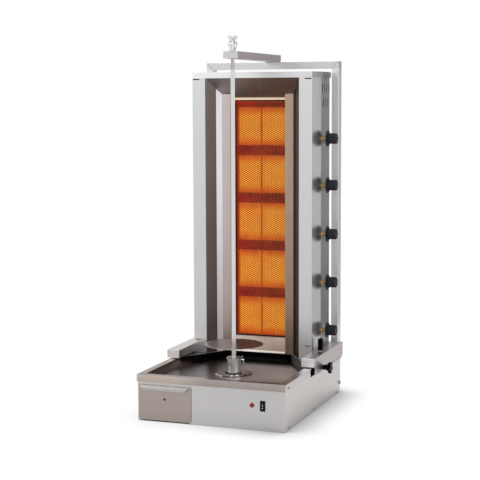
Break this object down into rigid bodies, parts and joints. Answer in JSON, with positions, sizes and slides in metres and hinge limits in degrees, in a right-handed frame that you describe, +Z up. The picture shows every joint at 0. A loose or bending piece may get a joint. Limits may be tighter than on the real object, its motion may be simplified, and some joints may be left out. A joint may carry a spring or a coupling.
{
  "type": "vertical rotisserie broiler",
  "caption": "Upright gas meat broiler: a tower of ceramic burners on sliding rails behind a motor-turned vertical spit, over a drip tray and fat drawer.",
  "frame": {"origin": "on the spit axis, on the underside of the base (table level)", "axes": "+Z up along the spit, -Y towards the operator (drawer and switch), +X to the operator's right (gas knobs)"},
  "size_m": [0.588, 0.6999, 1.318],
  "materials": {
    "casing_steel": "brushed satin",
    "tower_steel": "fine vertical brush",
    "rail_steel": "brushed satin",
    "frame_steel": "brushed satin tube",
    "tray_steel": "mirror-rolled, lightly worn",
    "drawer_steel": "brushed, warm tone",
    "reflector_steel": "bright rolled",
    "hot_steel": "heat-tinted satin",
    "spit_steel": "polished bar",
    "plate_steel": "bright disc",
    "polished_steel": "machined and polished",
    "chrome": "mirror",
    "galvanised": "dull zinc",
    "cast_alloy": "as cast",
    "bronze": "machined bronze",
    "brass": "machined",
    "copper_tube": "drawn copper",
    "gear_steel": "cut teeth, oiled",
    "burner_iron": "sooty",
    "glow_ceramic": "matte perforated ceramic, glowing",
    "mesh_steel": "oxidised expanded metal",
    "fastener_steel": "zinc bright",
    "black_plastic": "semi-gloss",
    "knob_plastic": "satin",
    "red_lens": "clear red"
  },
  "bodies": {
    "base": {"base_housing": "casing_steel", "base_floor": "galvanised", "drip_tray": "tray_steel", "strainer_ring": "tray_steel", "drip_funnel": "galvanised", "drawer_runners": "galvanised", "motor_bracket": "galvanised", "gearbox_case": "cast_alloy", "motor_body": "cast_alloy", "drive_bearings": "bronze", "switch_housing": "black_plastic", "indicator_lamp": "red_lens", "power_gland": "black_plastic", "rear_frame": "frame_steel", "pivot_hardware": "fastener_steel", "base_fasteners": "fastener_steel"},
    "drive": {"output_shaft": "spit_steel", "drive_gear": "gear_steel", "spit_socket": "polished_steel", "socket_screw": "polished_steel"},
    "pinion": {"motor_pinion": "gear_steel"},
    "spit": {"spit_bar": "spit_steel", "meat_plate": "plate_steel", "top_knob": "chrome"},
    "arm": {"swing_arm": "frame_steel", "arm_bush": "bronze"},
    "drawer": {"drawer_front": "drawer_steel", "drawer_pan": "galvanised"},
    "carriage": {"left_rail": "rail_steel", "right_rail": "rail_steel", "slide_shoes": "black_plastic", "pillars": "tower_steel", "left_side_panel": "tower_steel", "right_side_panel": "tower_steel", "tower_back": "tower_steel", "hood_cap": "tower_steel", "hood_deflector": "hot_steel", "reflectors": "reflector_steel", "bottom_apron": "hot_steel", "mesh_guard": "mesh_steel", "burner_plenums": "burner_iron", "ceramic_tiles": "glow_ceramic", "injector_tubes": "copper_tube", "gas_manifold": "galvanised", "valve_bodies": "brass", "handle_cap": "black_plastic", "clamp_bolt": "fastener_steel", "tower_fasteners": "fastener_steel"},
    "rocker": {"switch_rocker": "black_plastic"},
    "star": {"star_knob": "black_plastic"},
    "spindle_1": {"valve_spindle_1": "brass"},
    "knob_1": {"gas_knob_1": "knob_plastic"},
    "spindle_2": {"valve_spindle_2": "brass"},
    "knob_2": {"gas_knob_2": "knob_plastic"},
    "spindle_3": {"valve_spindle_3": "brass"},
    "knob_3": {"gas_knob_3": "knob_plastic"},
    "spindle_4": {"valve_spindle_4": "brass"},
    "knob_4": {"gas_knob_4": "knob_plastic"},
    "spindle_5": {"valve_spindle_5": "brass"},
    "knob_5": {"gas_knob_5": "knob_plastic"}
  },
  "joints": [
    {"name": "spit_spin", "type": "hinge", "parent": "base", "child": "drive", "pos_m": [0, 0, 0.172], "axis": [0, 0, 1], "continuous": true},
    {"name": "pinion_spin", "type": "hinge", "parent": "base", "child": "pinion", "pos_m": [0.064, 0, 0.066], "axis": [0, 0, 1], "continuous": true},
    {"name": "spit_lift", "type": "slide", "parent": "drive", "child": "spit", "axis": [0, 0, 1], "range_m": [0, 0.03]},
    {"name": "arm_swing", "type": "hinge", "parent": "base", "child": "arm", "pos_m": [0, 0.428, 1.252], "axis": [0, 0, 1], "range_deg": [0, 100]},
    {"name": "drawer_slide", "type": "slide", "parent": "base", "child": "drawer", "axis": [0, -1, 0], "range_m": [0, 0.3]},
    {"name": "carriage_slide", "type": "slide", "parent": "base", "child": "carriage", "axis": [0, -1, 0], "range_m": [0, 0.08]},
    {"name": "switch_rock", "type": "hinge", "parent": "base", "child": "rocker", "pos_m": [0.1875, -0.226, 0.0845], "axis": [1, 0, 0], "range_deg": [-8, 8]},
    {"name": "star_turn", "type": "hinge", "parent": "carriage", "child": "star", "pos_m": [0.3, 0.168, 0.145], "axis": [1, 0, 0], "range_deg": [0, 270]},
    {"name": "valve_turn_1", "type": "hinge", "parent": "carriage", "child": "spindle_1", "pos_m": [0.262, 0.268, 0.959], "axis": [1, 0, 0], "range_deg": [0, 180]},
    {"name": "knob_push_1", "type": "slide", "parent": "spindle_1", "child": "knob_1", "axis": [-1, 0, 0], "range_m": [0, 0.004], "stiffness_N_per_m": 300, "springref_m": -0.002},
    {"name": "valve_turn_2", "type": "hinge", "parent": "carriage", "child": "spindle_2", "pos_m": [0.262, 0.268, 0.7916], "axis": [1, 0, 0], "range_deg": [0, 180]},
    {"name": "knob_push_2", "type": "slide", "parent": "spindle_2", "child": "knob_2", "axis": [-1, 0, 0], "range_m": [0, 0.004], "stiffness_N_per_m": 300, "springref_m": -0.002},
    {"name": "valve_turn_3", "type": "hinge", "parent": "carriage", "child": "spindle_3", "pos_m": [0.262, 0.268, 0.6143], "axis": [1, 0, 0], "range_deg": [0, 180]},
    {"name": "knob_push_3", "type": "slide", "parent": "spindle_3", "child": "knob_3", "axis": [-1, 0, 0], "range_m": [0, 0.004], "stiffness_N_per_m": 300, "springref_m": -0.002},
    {"name": "valve_turn_4", "type": "hinge", "parent": "carriage", "child": "spindle_4", "pos_m": [0.262, 0.268, 0.4388], "axis": [1, 0, 0], "range_deg": [0, 180]},
    {"name": "knob_push_4", "type": "slide", "parent": "spindle_4", "child": "knob_4", "axis": [-1, 0, 0], "range_m": [0, 0.004], "stiffness_N_per_m": 300, "springref_m": -0.002},
    {"name": "valve_turn_5", "type": "hinge", "parent": "carriage", "child": "spindle_5", "pos_m": [0.262, 0.268, 0.2624], "axis": [1, 0, 0], "range_deg": [0, 180]},
    {"name": "knob_push_5", "type": "slide", "parent": "spindle_5", "child": "knob_5", "axis": [-1, 0, 0], "range_m": [0, 0.004], "stiffness_N_per_m": 300, "springref_m": -0.002}
  ],
  "couplings": [
    {"joint": "pinion_spin", "follows": "spit_spin", "ratio": -3}
  ]
}
